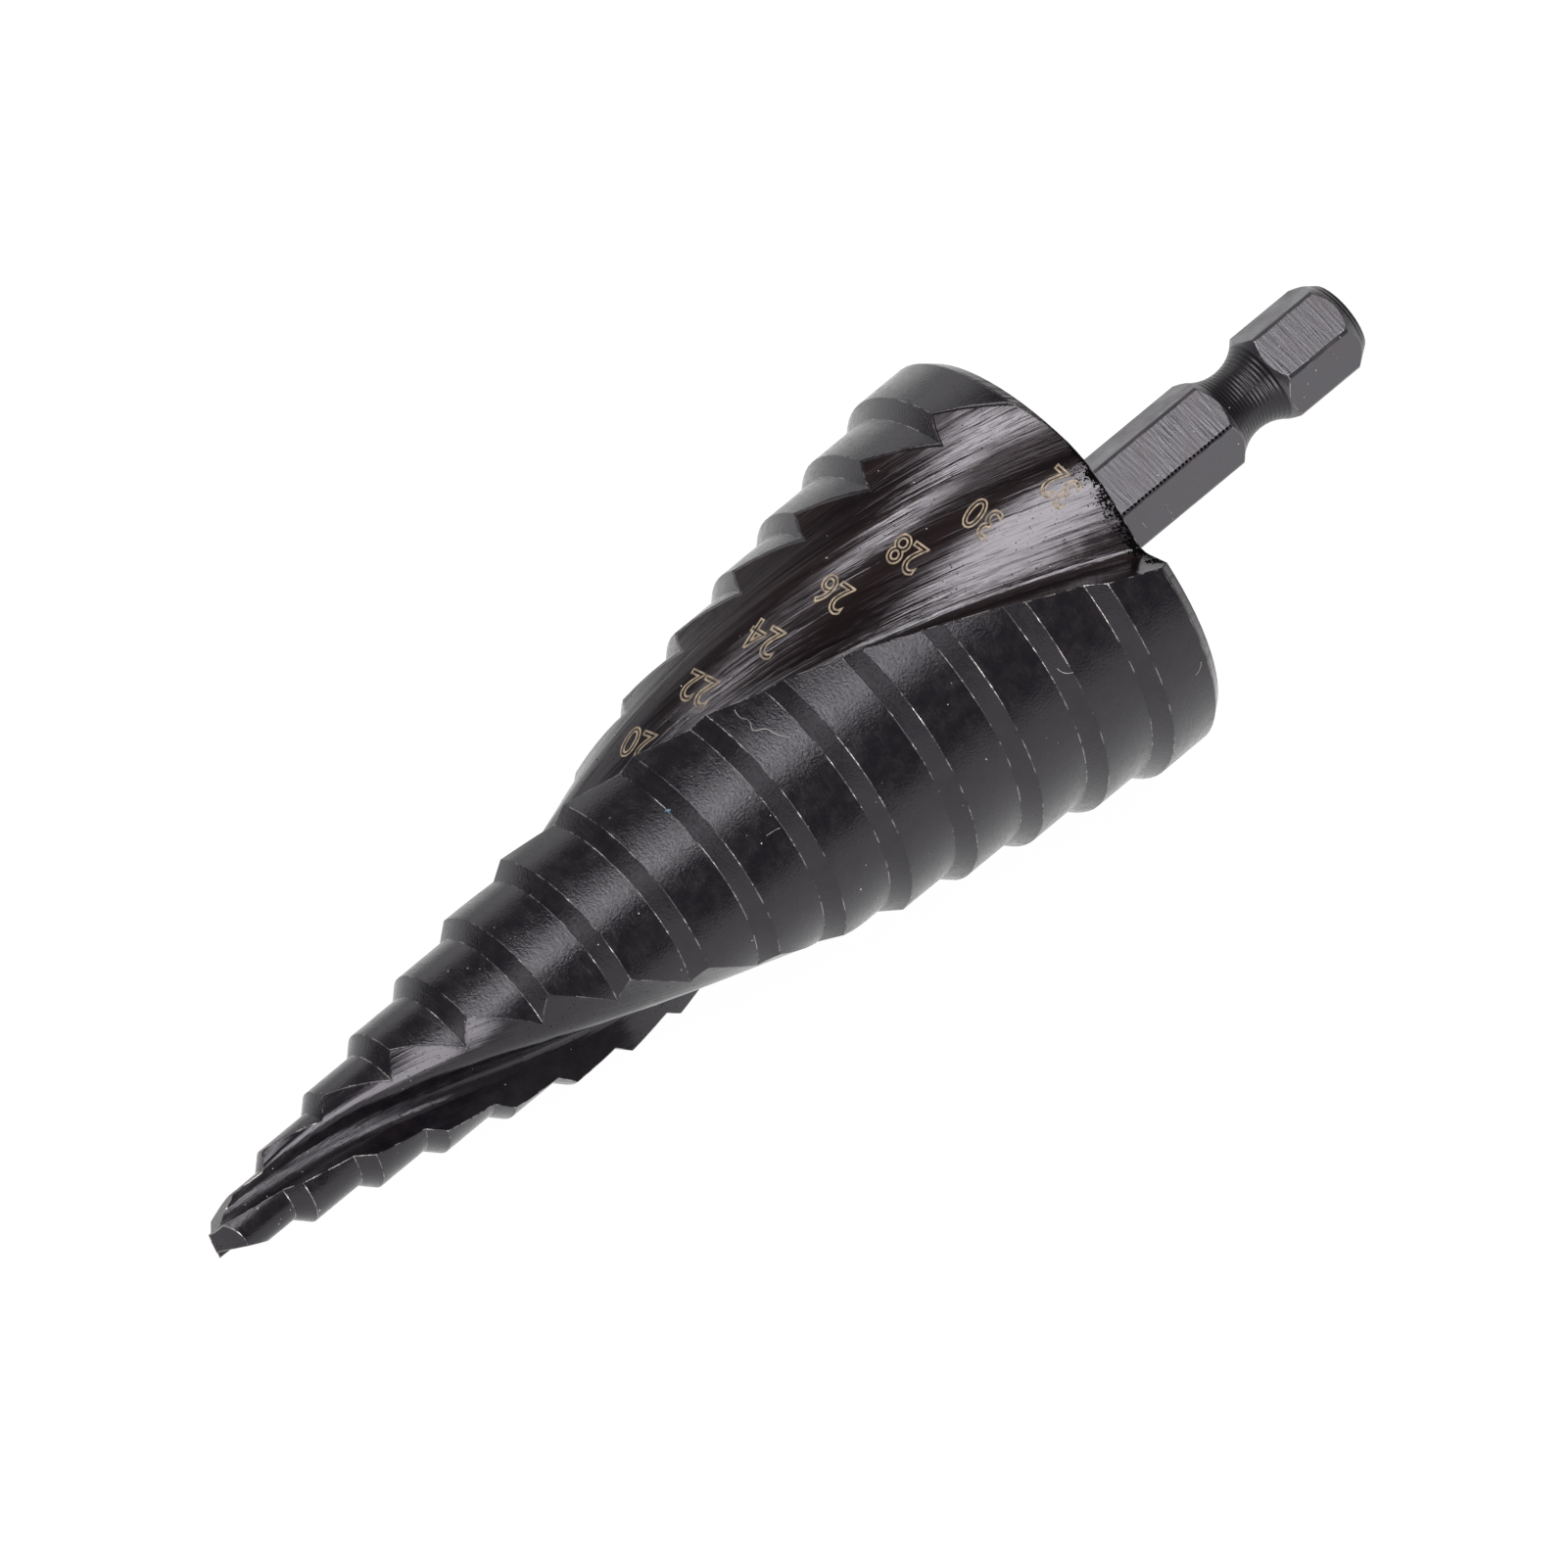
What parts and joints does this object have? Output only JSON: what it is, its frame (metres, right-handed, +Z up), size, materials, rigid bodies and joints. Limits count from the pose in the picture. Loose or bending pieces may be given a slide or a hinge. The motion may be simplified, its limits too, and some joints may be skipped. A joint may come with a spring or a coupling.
{
  "type": "step drill bit",
  "caption": "Cone-shaped step drill with spiral flutes, plain cutting steps joined by short conical shoulders, a drill point and a hexagonal quick-change shank with a ring groove.",
  "frame": {"origin": "middle of the bounding box in plan, on the surface the drill lies on", "axes": "+X along the drill towards the shank, +Z up; the drill lies at rest on its rear rim and middle steps, so its own axis rises 9.7 degrees towards the shank in the XZ plane"},
  "size_m": [0.1024, 0.032, 0.0315],
  "materials": {
    "black_oxide_steel": "glossy black oxide over ground tool steel"
  },
  "bodies": {
    "root": {"step_drill": "black_oxide_steel"}
  },
  "joints": []
}
